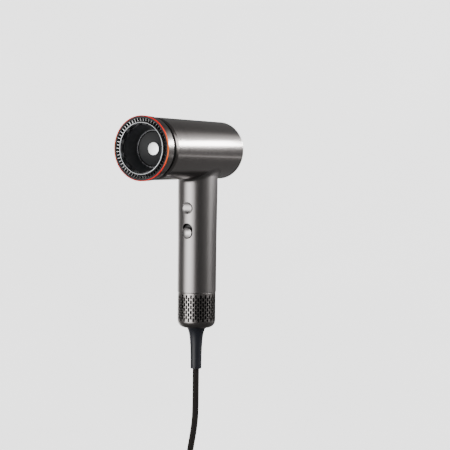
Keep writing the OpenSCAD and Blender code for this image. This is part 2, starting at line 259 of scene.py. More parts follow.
make_camera()


# ---------------------------------------------------------------- materials
def nodes_of(mat):
    mat.use_nodes = True
    nt = mat.node_tree
    nt.nodes.clear()
    out = nt.nodes.new("ShaderNodeOutputMaterial")
    bsdf = nt.nodes.new("ShaderNodeBsdfPrincipled")
    nt.links.new(bsdf.outputs[0], out.inputs[0])
    return nt, bsdf


def node(nt, kind, **values):
    n = nt.nodes.new(kind)
    for k, v in values.items():
        if k.startswith("_"):
            setattr(n, k[1:], v)
        else:
            key = int(k[1:]) if k[0] == "i" and k[1:].isdigit() else k
            n.inputs[key].default_value = v
    return n


def link(nt, a, b, out=0):
    nt.links.new(a.outputs[out], b)


def stretched_noise(nt, scale, detail, rough):
    """Noise over object coordinates in millimetres, with its own scale along each axis."""
    tc = node(nt, "ShaderNodeTexCoord")
    mp = node(nt, "ShaderNodeMapping")
    mp.inputs["Scale"].default_value = tuple(s / MM for s in scale)
    link(nt, tc, mp.inputs[0], "Object")
    nz = node(nt, "ShaderNodeTexNoise", Scale=1.0, Detail=detail, Roughness=rough)
    link(nt, mp, nz.inputs["Vector"])
    return nz


def ramp(nt, src, stops):
    r = node(nt, "ShaderNodeValToRGB")
    el = r.color_ramp.elements
    while len(el) < len(stops):
        el.new(0.5)
    for e, (p, c) in zip(el, stops):
        e.position = p
        e.color = (*c, 1)
    link(nt, src, r.inputs[0])
    return r


def mottled(nt, noise, color, tint):
    """A colour that the noise varies by a share of tint either way."""
    return ramp(nt, noise, [(0.3, tuple(c * (1 - tint) for c in color)),
                            (0.7, tuple(min(1, c * (1 + tint)) for c in color))])


def fine_bump(nt, bsdf, noise, strength, distance=0.0002):
    bp = node(nt, "ShaderNodeBump", Strength=strength, Distance=distance)
    link(nt, noise, bp.inputs["Height"])
    link(nt, bp, bsdf.inputs["Normal"])


def metal(name, color, rough, brush, aniso=0.0, bump=0.02, spread=0.06, tint=0.08, coat=0.0):
    """Metal with fine brushing. brush is the noise frequency per mm along X, Y and Z."""
    m = bpy.data.materials.new(name)
    nt, b = nodes_of(m)
    b.inputs["Metallic"].default_value = 1.0
    fine = stretched_noise(nt, brush, 4.0, 0.65)
    link(nt, mottled(nt, fine, color, tint), b.inputs["Base Color"])
    r = ramp(nt, fine, [(0.3, (rough - spread,) * 3), (0.7, (rough + spread,) * 3)])
    link(nt, r, b.inputs["Roughness"])
    if aniso:
        b.inputs["Anisotropic"].default_value = aniso
        t = node(nt, "ShaderNodeTangent", _direction_type="RADIAL", _axis="Y")
        link(nt, t, b.inputs["Tangent"])
    if coat:
        b.inputs["Coat Weight"].default_value = coat
        b.inputs["Coat Roughness"].default_value = 0.05
    fine_bump(nt, b, fine, bump)
    return m


def plastic(name, color, rough, spec=0.5, coat=0.0):
    """Moulded plastic or rubber with a fine spark-eroded grain."""
    m = bpy.data.materials.new(name)
    nt, b = nodes_of(m)
    grain = stretched_noise(nt, (3.0,) * 3, 2.0, 0.5)
    slow = stretched_noise(nt, (0.05,) * 3, 2.0, 0.5)
    link(nt, mottled(nt, slow, color, 0.12), b.inputs["Base Color"])
    r = ramp(nt, grain, [(0.3, (max(0.02, rough - 0.05),) * 3), (0.7, (rough + 0.05,) * 3)])
    link(nt, r, b.inputs["Roughness"])
    b.inputs["Specular IOR Level"].default_value = spec
    if coat:
        b.inputs["Coat Weight"].default_value = coat
        b.inputs["Coat Roughness"].default_value = 0.1
    fine_bump(nt, b, grain, 0.05)
    return m


def glow(name):
    """The lit ring: red at top and bottom, orange at its sides."""
    m = bpy.data.materials.new(name)
    nt, b = nodes_of(m)
    tc = node(nt, "ShaderNodeTexCoord")
    sep = node(nt, "ShaderNodeSeparateXYZ")
    link(nt, tc, sep.inputs[0], "Object")
    sub = node(nt, "ShaderNodeMath", _operation="SUBTRACT", i1=HZ * MM)
    link(nt, sep, sub.inputs[0], "Z")
    ab = node(nt, "ShaderNodeMath", _operation="ABSOLUTE")
    link(nt, sub, ab.inputs[0])
    mul = node(nt, "ShaderNodeMath", _operation="MULTIPLY", i1=1 / 0.034)
    link(nt, ab, mul.inputs[0])
    c = ramp(nt, mul, [(0.0, (1.0, 0.17, 0.002)), (0.34, (1.0, 0.10, 0.002)),
                       (0.58, (0.85, 0.008, 0.003)), (1.0, (0.70, 0.004, 0.004))])
    link(nt, c, b.inputs["Base Color"])
    link(nt, c, b.inputs["Emission Color"])
    b.inputs["Emission Strength"].default_value = 0.6
    b.inputs["Specular IOR Level"].default_value = 0.12
    b.inputs["Roughness"].default_value = 0.5
    return m


# Noise frequencies per mm along X, Y and Z
LENGTHWISE, TURNED, EVEN = (0.01, 0.6, 0.01), (0.4, 0.4, 0.4), (1, 1, 1)
SATIN, COARSE, WOUND = (1.6, 1.6, 1.6), (0.6, 0.6, 0.6), (0.4, 0.4, 3)
M = {
    "barrel": metal("brushed_barrel", (0.29, 0.268, 0.262), 0.235, LENGTHWISE,
                    bump=0.004, spread=0.02, tint=0.07, coat=0.35),
    "collar": metal("brushed_collar", (0.26, 0.242, 0.238), 0.24, LENGTHWISE,
                    bump=0.004, spread=0.02, tint=0.05),
    "bezel": metal("turned_bezel", (0.30, 0.285, 0.285), 0.30, TURNED, aniso=0.5, spread=0.05),
    "edge": metal("polished_edge", (0.75, 0.73, 0.72), 0.16, EVEN, bump=0.0),
    "handle": metal("satin_handle", (0.25, 0.239, 0.237), 0.33, SATIN, bump=0.006, spread=0.015, tint=0.02),
    "cover": metal("satin_cover", (0.27, 0.256, 0.25), 0.30, SATIN, bump=0.006, spread=0.015, tint=0.02),
    "knob": metal("satin_knob", (0.27, 0.26, 0.258), 0.24, SATIN, bump=0.005, spread=0.02, tint=0.02),
    "chrome": metal("chrome_trim", (0.30, 0.31, 0.32), 0.16, EVEN, bump=0.0, spread=0.03),
    "mirror": metal("mirror_disc", (0.88, 0.87, 0.87), 0.26, COARSE, bump=0.0, spread=0.02, tint=0.01),
    "cap": metal("silver_cap", (0.66, 0.665, 0.67), 0.33, EVEN, bump=0.01),
    # Black for the seals, the rear recess ring and the cup ring. On the groove band's lip over the bevel it is
    # painted shade.
    "black": plastic("black_seal_and_painted_shade", (0.005, 0.005, 0.005), 0.6, spec=0.08),
    "grille": plastic("grille_plastic", (0.022, 0.022, 0.023), 0.40, spec=0.22),
    "fin": metal("fin_metal", (0.55, 0.55, 0.56), 0.22, EVEN, bump=0.004, spread=0.03),
    "liner": plastic("liner_plastic", (0.055, 0.057, 0.062), 0.38, spec=0.55),
    "tabs": plastic("tab_plastic", (0.045, 0.046, 0.05), 0.3, coat=0.3),
    # Bright metal for the strips on the tabs' front edges: a painted highlight.
    "lip": metal("painted_highlight_lip", (0.70, 0.71, 0.73), 0.25, EVEN, bump=0.004),
    "grey_lip": metal("grey_lip", (0.26, 0.265, 0.28), 0.28, EVEN, bump=0.004),
    "dish": plastic("dish_plastic", (0.012, 0.013, 0.015), 0.45, spec=0.22),
    # Gloss black for the disc behind the outlet fins: painted shade.
    "gloss": plastic("gloss_black_painted_shade", (0.006, 0.006, 0.006), 0.15, coat=0.6),
    "rubber": plastic("soft_rubber", (0.019, 0.021, 0.028), 0.40, spec=0.35),
    "dark": plastic("moulded_black", (0.02, 0.02, 0.02), 0.5),
    "board": plastic("solder_mask", (0.01, 0.09, 0.03), 0.35),
    "mica": plastic("mica_sheet", (0.45, 0.38, 0.22), 0.4),
    "white": plastic("white_plastic", (0.7, 0.7, 0.68), 0.4),
    "blue": plastic("blue_film", (0.02, 0.09, 0.35), 0.3, coat=0.4),
    "red": plastic("silicone_red", (0.4, 0.02, 0.015), 0.4),
    "steel": metal("bright_steel", (0.55, 0.55, 0.55), 0.3, COARSE),
    "sieve": metal("fine_sieve", (0.035, 0.034, 0.034), 0.45, COARSE),
    "wire": metal("heating_wire", (0.42, 0.37, 0.32), 0.4, COARSE),
    "copper": metal("copper_wire", (0.62, 0.30, 0.14), 0.4, WOUND),
    "alu": metal("machined_alu", (0.62, 0.62, 0.64), 0.3, WOUND),
    "nickel": metal("nickel_pins", (0.72, 0.70, 0.66), 0.2, EVEN),
    "light": glow("lit_ring"),
    "lens": plastic("lens_white", (0.8, 0.82, 0.85), 0.3),
}
LENS_BSDF = M["lens"].node_tree.nodes["Principled BSDF"]
LENS_BSDF.inputs["Emission Color"].default_value = (0.8, 0.85, 0.9, 1)
LENS_BSDF.inputs["Emission Strength"].default_value = 0.6


def braid(name):
    """Braided sleeve: diagonal strands over UVs that run in mm along the cord."""
    m = bpy.data.materials.new(name)
    nt, b = nodes_of(m)
    tc = node(nt, "ShaderNodeTexCoord")
    sep = node(nt, "ShaderNodeSeparateXYZ")
    link(nt, tc, sep.inputs[0], "UV")
    waves = []
    for sign in (1, -1):
        a = node(nt, "ShaderNodeMath", _operation="MULTIPLY", i1=12.0 * sign)
        link(nt, sep, a.inputs[0], "X")
        c = node(nt, "ShaderNodeMath", _operation="MULTIPLY", i1=0.55)
        link(nt, sep, c.inputs[0], "Y")
        s = node(nt, "ShaderNodeMath", _operation="ADD")
        link(nt, a, s.inputs[0])
        link(nt, c, s.inputs[1])
        f = node(nt, "ShaderNodeMath", _operation="FRACT")
        link(nt, s, f.inputs[0])
        t = node(nt, "ShaderNodeMath", _operation="PINGPONG", i1=0.5)
        link(nt, f, t.inputs[0])
        waves.append(t)
    mx = node(nt, "ShaderNodeMath", _operation="MAXIMUM")
    link(nt, waves[0], mx.inputs[0])
    link(nt, waves[1], mx.inputs[1])
    mn = node(nt, "ShaderNodeMath", _operation="MINIMUM")
    link(nt, waves[0], mn.inputs[0])
    link(nt, waves[1], mn.inputs[1])
    c = ramp(nt, mn, [(0.0, (0.006, 0.005, 0.005)), (0.25, (0.018, 0.014, 0.013)),
                      (0.5, (0.044, 0.032, 0.028))])
    link(nt, c, b.inputs["Base Color"])
    b.inputs["Roughness"].default_value = 0.7
    b.inputs["Specular IOR Level"].default_value = 0.2
    b.inputs["Sheen Weight"].default_value = 0.08
    b.inputs["Sheen Roughness"].default_value = 0.5
    fine_bump(nt, b, mx, 0.6, 0.0004)
    return m


M["braid"] = braid("braided_cord")


# ---------------------------------------------------------------- cord
def ease(t):
    t = min(max(t, 0), 1)
    return t * t * (3 - 2 * t)


def cord_points():
    """The cord's whole line in mm: down from the boot, folded into the hank, and on to the plug."""
    h, rc, rm = 44.3, 22.0, 27.5        # half height of the fold, radius of its ends and of its waist
    ye, ym, step = 3.75, 2.3, 22.3      # strand spacing at the ends and the waist, and the line's stand-off

    def mid(j):
        return (1 if j % 2 == 0 else -1), (3.9 if (j // 2) % 2 == 0 else 11.0)

    def half(j, up):
        s, m = mid(j)
        lean = math.atan2(m + rm, h)
        beta = math.asin((rm + rc) / math.hypot(m + rm, h)) - lean
        pts = [(m + rm - rm * math.cos(beta * k / 6), rm * math.sin(beta * k / 6)) for k in range(7)]
        ax, az = pts[-1]
        bx, bz = rc * math.cos(beta), h - rc * math.sin(beta)
        pts += [(ax + (bx - ax) * k / 6, az + (bz - az) * k / 6) for k in range(1, 7)]
        y0 = (j - 5) * ym if j < 10 else 12.2
        y1 = (j - 5) * ye
        return [(s * x, y0 + (y1 - y0) * ease(z / bz * 1.1), up * z) for x, z in pts], beta

    out = []
    s, m = mid(0)
    for k in range(16):
        t = k / 16
        out.append((s * m * ease(t * 1.25), -step + (step - 5 * ym) * ease(max(0, (t - 0.12) / 0.88)),
                    70 * (1 - t)))
    for j in range(10):
        d = -1 if j % 2 == 0 else 1
        a, b0 = half(j, d)
        b, b1 = half(j + 1, d)
        out += a
        s = mid(j)[0]
        for k in range(1, 20):
            t = k / 20
            g = -b0 + (math.pi + b0 + b1) * t
            out.append((rc * math.cos(g) * s, (j - 5) * ye + ye * ease(t), d * (h + rc * math.sin(g))))
        out += b[::-1][:-1]
    s, m = mid(10)
    for k in range(23):
        t = k / 22
        out.append((s * m * (1 - ease(t * 1.1)), 12.2 + (step - 12.2) * ease((70 * t + 6) / 52), -70 * t))
    route = [(0, 0, -116.4), (0, 0, -130), (0, 0, -145), (0, 0, -160), (0, -0.6, -172), (0, -3, -184),
             (0, -6.4, -195), (0, -9.8, -205), (0, -11.9, -214), (0, -12.3, -219)]
    pts = route + [(x, y + HANK_Y, z + HANK_Z) for x, y, z in out]
    pts += [(0, PLUG_Y, z) for z in (-366, -374, PLUG_Z)]
    keep = [pts[0]]
    for q in pts[1:]:
        if math.dist(q, keep[-1]) > 0.3:
            keep.append(q)
    p = np.array(keep, float)
    seg = np.r_[0, np.cumsum(np.linalg.norm(np.diff(p, axis=0), axis=1))]
    q = np.linspace(0, seg[-1], int(round(seg[-1] / 3.0)) + 1)
    p = np.stack([np.interp(q, seg, p[:, i]) for i in range(3)], 1)
    for _ in range(4):
        r = p.copy()
        r[1:-1] = 0.25 * p[:-2] + 0.5 * p[1:-1] + 0.25 * p[2:]
        p = r
    return p


CORD = cord_points()
cord = tube_mesh("mains_cord", CORD, 3.6, 20, M["braid"])
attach(cord, "dryer")
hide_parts("cord_tube", "cord_hank", "cord_tail")


def loop_band(name, place, half_x, half_y, corner, z0, z1, thick, mat):
    """A strap of rounded-rectangle outline, thick outwards, with rounded edges."""
    outline = []
    for cx, cy, a0 in ((half_x - corner, half_y - corner, 0), (-(half_x - corner), half_y - corner, 90),
                       (-(half_x - corner), -(half_y - corner), 180),
                       (half_x - corner, -(half_y - corner), 270)):
        for k in range(9):
            a = math.radians(a0 + 90 * k / 8)
            outline.append(((cx, cy), (math.cos(a), math.sin(a))))
    sect = fillet([(0, z0, 0.1), (thick, z0, 0.6), (thick, (z0 + z1) / 2), (thick, z1, 0.6), (0, z1, 0.1),
                   (0, z0, 0.1)], 3)[:-1]
    verts = [place(c[0] + d[0] * (corner + t), c[1] + d[1] * (corner + t), z)
             for c, d in outline for t, z in sect]
    return new_object(name, verts, ring_faces(len(outline), len(sect), True), 40, mat)


tie = loop_band("cord_strap", lambda x, y, z: (x, y + HANK_Y, z + HANK_Z), 15.0, 16.2, 7, -6.5, 6.5, 1.6,
                M["rubber"])
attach(tie, "dryer")
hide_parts("cord_tie")


def superellipse(a, b, n, k, count):
    t = TAU * k / count
    c, s = math.cos(t), math.sin(t)
    return (a * math.copysign(abs(c) ** (2 / n), c), b * math.copysign(abs(s) ** (2 / n), s))


def make_plug():
    """Flat two-pin plug body, lofted from a round neck to a rounded flat face."""
    rows = [(0.0, 4.9, 4.9, 2), (-1.2, 5.2, 5.2, 2), (-6, 5.5, 5.4, 2), (-10, 6.3, 5.9, 2),
            (-14, 8.6, 6.4, 2.2),
            (-18, 12.4, 6.7, 2.6), (-22, 15.2, 6.8, 3.0), (-26, 16.2, 6.85, 3.4), (-33, 16.4, 6.85, 3.6),
            (-38.6, 16.2, 6.8, 3.6), (-39.6, 15.7, 6.3, 3.5), (-40, 15.0, 5.7, 3.4)]
    n = 64
    verts = []
    for z, a, b, e in rows:
        for k in range(n):
            x, y = superellipse(a, b, e, k, n)
            verts.append((x, y + PLUG_Y, z + PLUG_Z))
    faces = ring_faces(len(rows), n)
    faces.append(tuple(range(n)))
    faces.append(tuple((len(rows) - 1) * n + k for k in range(n)))
    return new_object("plug", verts, faces, 40, M["dark"])


plug = make_plug()
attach(plug, "dryer")
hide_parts("plug_body")


def make_pins():
    parts = []
    for x in (-9.5, 9.5):
        prof = fillet([(0, -59, 0), (2.4, -59, 1.6), (2.4, -40, 0), (0, -40, 0)], 5)
        n = 28
        verts = [(x + r * math.cos(TAU * k / n), PLUG_Y + r * math.sin(TAU * k / n), z + PLUG_Z)
                 for r, z in prof for k in range(n)]
        parts.append((verts, ring_faces(len(prof), n)))
    return join_meshes("plug_pin_pair", parts, M["nickel"])


pins = make_pins()
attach(pins, "dryer")
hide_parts("plug_pins")
tuple(v * MM for v in CORD[0])
[tuple(v * MM for v in p) for p in CORD]


# ---------------------------------------------------------------- head
def put(ob, body, slot, *cad):
    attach(ob, body)
    if cad:
        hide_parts(*cad)
    return ob


put(lathe("barrel_skin", [(30.2, 92.6), (32.1, 92.6, 0.15), (BARREL_R0, BARREL_W0, 1.0),
                          (BARREL_R1, BARREL_W1, 0.5),
                          (31.25, -45.0, 0.15), (31.25, -39.0), (30.2, -38.6)], on_barrel, 192,
          mat=M["barrel"]), "dryer", "brushed", "head_shell")
put(lathe("collar_skin", [(31.9, 98.5), (33.15, 98.5, 0.4), (33.75, 99.5, 0.5), (34.1, 109.9, 0.1),
                          (33.6, 109.95), (33.5, 108.4), (31.9, 108.4)], on_barrel, 192,
          mat=M["collar"]), "dryer", "brushed", "front_collar")
# The black seal sits in the groove. Its lip runs out over the front of the shell's bevel, from w 92.7 to 94.2,
# and is painted shade: black where the groove's shaded side falls.
put(lathe("groove_band", [(29.4, 91.0), (30.1, 91.0), (30.1, 92.7), (32.05, 92.7, 0.1), (31.4, 94.2, 0.3),
                          (31.2, 95.0), (31.2, 98.9), (31.9, 99.4), (31.9, 101.5), (29.4, 101.5)],
          on_barrel, 160, mat=M["black"]), "dryer", "seal", "groove_seal")
put(lathe("lit_ring", [(33.35, 109.95), (34.1, 109.95, 0.1), (34.1, 111, 0.55), (33.35, 111, 0.1)],
          on_barrel, 192,
          mat=M["light"], steps=6), "dryer", "light", "light_ring")


def make_grille():
    """The outlet's radial fins, whose front faces slope inwards."""
    parts = []
    for i in range(FINS):
        a = TAU * i / FINS
        ca, sa = math.cos(a), math.sin(a)
        verts = []
        sect = fillet([(-0.5, 104.2), (-0.5, 110.2, 0.35), (0.5, 110.2, 0.35), (0.5, 104.2)], 3)
        m = len(sect)
        for r in (27.8, 31.5):
            half, drop = (0.85, 0.8) if r < 30 else (1.05, 0.0)
            for t, w in sect:
                u, w = t * half, (w - drop if w > 105 else w)
                verts.append((r * ca - u * sa, -w, HZ + r * sa + u * ca))
        parts.append((verts, ring_faces(2, m) + end_caps(2, m)))
    return join_meshes("outlet_fins", parts, M["fin"], 40)


put(make_grille(), "dryer", "grille", "outlet_grille")
put(lathe("grille_rim", [(31.25, 101.8), (31.9, 101.8), (31.9, 109.4), (33.4, 109.4), (33.4, 110.8, 0.3),
                         (31.25, 110.7, 0.4)], on_barrel, 192, mat=M["grille"]), "dryer", "grille")
put(lathe("grille_hub", [(27.45, 102.0), (28.0, 102.0), (28.0, 110.6, 0.25), (27.45, 110.6)], on_barrel, 192,
          mat=M["grille"]), "dryer", "grille")
# A thin gloss black disc closes the outlet just behind the fins: painted shade, so that the gaps between the
# fins read black.
put(lathe("grille_painted_shade_disc", [(27.9, 103.4), (31.4, 103.4), (31.4, 103.9), (27.9, 103.9)],
          on_barrel, 128, mat=M["gloss"]),
    "dryer", "grille")
put(lathe("mouth_trim", [(26.2, 106.5), (27.45, 106.5), (27.45, 111.2, 0.5), (26.2, 111.2, 0.55)],
          on_barrel, 192,
          mat=M["chrome"], steps=6), "dryer", "chrome", "inner_trim_ring")
FUNNEL = [(19.7 + 5.3 * (i / 14) ** 1.25, 88.6 + 15.8 * i / 14) for i in range(15)]
put(lathe("funnel", [(26.2, 104.4), (26.2, 106.5), (27.45, 106.5), (27.45, 102), (26.6, 100.5), (26.2, 90),
                     (23.5, 84.5), (19.7, 83)] + FUNNEL, on_barrel, 160, smooth=40,
          mat=M["liner"]), "dryer", "liner", "bore_liner")


def make_tabs():
    """The tabs that a nozzle locks behind."""
    parts = []
    for i in range(MOUTH_TABS):
        a = TAU * (i + 0.5) / MOUTH_TABS
        ca, sa = math.cos(a), math.sin(a)
        sect = fillet([(25.95, 104.7), (24.8, 104.7, 0.4), (24.8, 108.2, 0.5), (25.95, 108.6)], 3)
        m = len(sect)
        verts = []
        for t in (-2.6, -2.3, 2.3, 2.6):
            d = 0.25 if abs(t) > 2.5 else 0
            for r, w in sect:
                rr = r + d if r < 25.7 else r
                verts.append((rr * ca - t * sa, -w, HZ + rr * sa + t * ca))
        parts.append((verts, ring_faces(4, m) + end_caps(4, m)))
    return join_meshes("key_tabs", parts, M["tabs"], 40)


put(make_tabs(), "dryer", "liner", "nozzle_key_ring")


def make_tab_highlight_strips():
    """A thin strip of bright metal along the front edge of each tab: a painted highlight."""
    parts = []
    for i in range(MOUTH_TABS):
        a = TAU * (i + 0.5) / MOUTH_TABS
        ca, sa = math.cos(a), math.sin(a)
        sect = [(24.76, 107.85), (24.76, 108.1), (24.95, 108.26), (25.02, 108.22), (24.98, 108.0)]
        verts = [(r * ca - t * sa, -w, HZ + r * sa + t * ca) for t in (-2.3, 2.3) for r, w in sect]
        n = len(sect)
        parts.append((verts, ring_faces(2, n) + end_caps(2, n)))
    return join_meshes("tab_highlight_strips", parts, M["lip"], 40)


put(make_tab_highlight_strips(), "dryer", "liner")
put(lathe("key_ring_band", [(25.85, 104.4), (26.2, 104.4), (26.2, 109.2, 0.1), (25.85, 109.2, 0.1)],
          on_barrel, 160,
          mat=M["liner"]), "dryer", "liner")
put(lathe("cup_rim", [(17.9, 83), (19.0, 83), (19.0, 88.3, 0.2), (17.9, 88.3, 0.4)], on_barrel, 128,
          mat=M["black"], steps=6), "dryer", "seal", "cup_ring")
put(lathe("cup_lip", [(19.0, 83), (19.7, 83), (19.7, 89.35, 0.3), (19.0, 89.35, 0.3)], on_barrel, 160,
          mat=M["grey_lip"], steps=6), "dryer", "liner")
put(lathe("dish", [(0, 83.2), (17.9, 83.2)]
          + [(17.9 * (1 - i / 12), 86.6 + 2.0 * (1 - i / 12) ** 2) for i in range(13)],
          on_barrel, 128, closed=False, smooth=50, mat=M["dish"]), "dryer", "liner", "cup_dish")
put(lathe("silver_disc", [(0, 85.3), (6.95, 85.3), (6.95, 88.3, 0.5), (0, 88.35)], on_barrel, 96, closed=False,
          mat=M["cap"], steps=6), "dryer", "cap", "centre_cap")
BEZEL = [(31.2 - 5.6 * i / 12, -45.2 - 1.9 * math.sin(math.pi * (0.05 + 0.72 * i / 12))) for i in range(13)]
put(lathe("rear_ring", [(25.6, -39), (31.2, -39)] + BEZEL + [(25.6, -42)], on_barrel, 192, smooth=45,
          mat=M["bezel"]),
    "dryer", "brushed", "rear_bezel")
put(lathe("rear_gap", [(22.05, -39), (25.6, -39), (25.6, -42.2), (22.05, -42.2)], on_barrel, 128,
          mat=M["black"]), "dryer",
    "seal", "rear_recess_ring")
DOME = [(20.5 * (1 - i / 10), -45.3 - 0.6 * (1 - (1 - i / 10) ** 2)) for i in range(11)]
put(lathe("rear_mirror", [(0, -39), (22.05, -39), (22.05, -45.0, 0.4)] + DOME, on_barrel, 160, closed=False,
          mat=M["mirror"]), "dryer", "mirror", "rear_disc")
put(lathe("rear_edge", [(31.15, -44.4), (32.02, -43.9), (32.02, -44.2, 0.1), (31.3, -45.12, 0.15),
                        (31.15, -45.0)], on_barrel, 192, mat=M["edge"]), "dryer", "brushed")


# ---------------------------------------------------------------- handle
def wall_normals(ob, radius_at, z_lo, z_hi):
    """Gives a round outer wall its exact normals, so that openings cut in it leave no shading marks."""
    me = ob.data
    me.shade_smooth()
    me.set_sharp_from_angle(angle=math.radians(35))
    out = []
    corner = [tuple(n.vector) for n in me.corner_normals]
    for poly in me.polygons:
        nf = poly.normal
        for li in poly.loop_indices:
            co = me.vertices[me.loops[li].vertex_index].co / MM
            r = math.hypot(co.x, co.y)
            if abs(r - radius_at(co.z)) < 0.02 and z_lo < co.z < z_hi and (nf.x * co.x + nf.y * co.y) / r > 0.9:
                out.append((co.x / r, co.y / r, 0))
            else:
                out.append(corner[li])
    me.normals_split_custom_set(out)


def handle_r(z):
    """The handle's outer radius, which grows a little towards the barrel."""
    if z <= 29:
        return GRIP_R
    return GRIP_R + (NECK_R - GRIP_R) * min(1, (z - 29) / 53)


def cut(ob, cutter):
    m = ob.modifiers.new("cut", "BOOLEAN")
    m.operation = "DIFFERENCE"
    m.solver = "EXACT"
    m.object = cutter
    apply_modifiers(ob)
    bpy.data.objects.remove(cutter, do_unlink=True)


def capsule(name, r, z0, z1, y0, y1):
    """A cutter along Y with round ends at heights z0 and z1."""
    if z1 > z0:
        half = [math.pi * k / 48 for k in range(49)]
        ring_pts = ([(r * math.cos(a), z1 + r * math.sin(a)) for a in half]
                    + [(-r * math.cos(a), z0 - r * math.sin(a)) for a in half])
    else:
        ring_pts = [(r * math.cos(TAU * k / 96), z0 + r * math.sin(TAU * k / 96)) for k in range(96)]
    n = len(ring_pts)
    verts = [(x, y0, z) for x, z in ring_pts] + [(x, y1, z) for x, z in ring_pts]
    return new_object(name, verts, ring_faces(2, n) + end_caps(2, n)), ring_pts


def make_handle():
    prof = [(HANDLE_IN_R, -30.4), (21.2, -30.4, 0.1), (GRIP_R, -30.1, 0.15)]
    prof += [(GRIP_R, z) for z in range(-26, 30, 5)] + [(handle_r(z), z) for z in range(34, 84, 5)]
    prof += [(NECK_R, 84), (NECK_R, 104)] + [(HANDLE_IN_R, z) for z in (104, 46, 8)]
    ob = lathe("handle_tube", prof, on_handle, 256, mat=M["handle"])
    hole, button_edge = capsule("c1", CONTROL_R, BUTTON_Z, BUTTON_Z, -30, -12)
    cut(ob, hole)
    hole, slot_edge = capsule("c2", CONTROL_R, SLIDER_Z, SLIDER_Z + SLIDER_TRAVEL, -30, -12)
    cut(ob, hole)
    wall_normals(ob, handle_r, -30.05, 104.1)
    return ob, button_edge, slot_edge


handle, hole_a, hole_b = make_handle()
put(handle, "dryer", "handle", "handle_shell")


def lip(name, ring_pts):
    """A rounded lip that follows a hole's edge on the handle's wall."""
    bead, sunk = 0.22, 0.12
    p = []
    for x, z in ring_pts:
        r = handle_r(z) - sunk
        p.append(Vector((x, -math.sqrt(r * r - x * x), z)))
    n, sides = len(p), 10
    verts = []
    for i in range(n):
        t = (p[(i + 1) % n] - p[i - 1]).normalized()
        out = Vector((p[i].x, p[i].y, 0)).normalized()
        b = t.cross(out).normalized()
        for k in range(sides):
            a = TAU * k / sides
            verts.append(tuple(p[i] + bead * (math.cos(a) * out + math.sin(a) * b)))
    return new_object(name, verts, ring_faces(n, sides, True), 60, M["handle"])


put(lip("button_lip", hole_a), "dryer", "handle")
put(lip("slot_lip", hole_b), "dryer", "handle")


def make_neck():
    """The blend where the handle runs into the barrel."""
    e, n, m = 3.6, 192, 8       # its size, its steps round and its steps down
    verts, faces = [], []

    def barrel_z(r, a):
        """Height of the barrel's underside above this point."""
        y = r * math.sin(a)
        rb = BARREL_R0 + (BARREL_R1 - BARREL_R0) * (y + BARREL_W0) / (BARREL_W0 - BARREL_W1) + 0.02
        x = r * math.cos(a)
        return HZ - math.sqrt(rb * rb - x * x)

    for i in range(n):
        a = TAU * i / n
        za = barrel_z(NECK_R + e, a)
        zc = barrel_z(NECK_R, a)
        pa, pc, pb = (NECK_R + e, za), (NECK_R, zc), (NECK_R + 0.015, zc - e * 1.3)
        for k in range(m + 1):
            t = k / m
            r = (1 - t) ** 2 * pa[0] + 2 * t * (1 - t) * pc[0] + t * t * pb[0]
            z = (1 - t) ** 2 * pa[1] + 2 * t * (1 - t) * pc[1] + t * t * pb[1]
            verts.append((r * math.cos(a), r * math.sin(a), z))
    for i in range(n):
        for k in range(m):
            j = (i + 1) % n
            faces.append((i * (m + 1) + k, i * (m + 1) + k + 1, j * (m + 1) + k + 1, j * (m + 1) + k))
    return new_object("neck_fillet", verts, faces, 180, M["handle"])


put(make_neck(), "dryer", "handle")


def knob(name, prof, z0, scoop=0.0):
    """A round knob on the handle's front. A scoop hollows its face along X for the thumb."""
    def place(r, a, w):
        if scoop and r < FACE_R + 0.01 and w > 20:
            w = FACE_W - scoop * (1 - (r * math.sin(a) / FACE_R) ** 2)
        return r * math.cos(a), -w, z0 + r * math.sin(a)

    return lathe(name, prof, place, 96, closed=False, smooth=40, mat=M["knob"], steps=6)


def face(r, w, rise):
    """A knob's curved face, from radius r in to its axis."""
    return [(r * (1 - i / 10), w + rise * math.sin(math.pi / 2 * i / 10)) for i in range(11)]


put(knob("heat_knob", [(0, 12.3), (1.6, 12.3), (1.6, 16), (7.5, 16), (7.5, 17.2), (6.0, 17.2),
                       (6.0, 22.05, 0.4)]
         + face(FACE_R, FACE_W, -0.5), BUTTON_Z, 0.75), "heat_button", "knob", "heat_button")
put(knob("slider_knob", [(0, 17), (6.0, 17), (6.0, 22.0, 0.45)] + face(5.6, 22.1, 0.8), SLIDER_Z),
    "power_slider", "knob", "power_slider")


def box_mesh(name, lo, hi, bevel, mat):
    x0, y0, z0 = lo
    x1, y1, z1 = hi
    v = [(x, y, z) for x in (x0, x1) for y in (y0, y1) for z in (z0, z1)]
    f = [(0, 1, 3, 2), (4, 6, 7, 5), (0, 4, 5, 1), (2, 3, 7, 6), (0, 2, 6, 4), (1, 5, 7, 3)]
    ob = new_object(name, v, f, 35, mat)
    add_bevel(ob, bevel)
    return ob


put(box_mesh("slider_shutter", (-7.8, -17.3, 26.5), (7.8, -16.2, 48.9), 0.3, M["dark"]), "power_slider", "knob")

LED_TURN = math.radians(28)     # how far round from the front the status light sits


def on_led(r, a, w):
    side, front = math.sin(LED_TURN), math.cos(LED_TURN)
    return (w * side + r * math.cos(a) * front, -w * front + r * math.cos(a) * side,
            BUTTON_Z + r * math.sin(a))


put(lathe("status_lens", [(0, 17.5), (0.75, 17.5), (0.75, 21.72, 0.3), (0, 21.8)], on_led, 32, closed=False,
          mat=M["lens"]), "dryer", "white_plastic", "status_led")


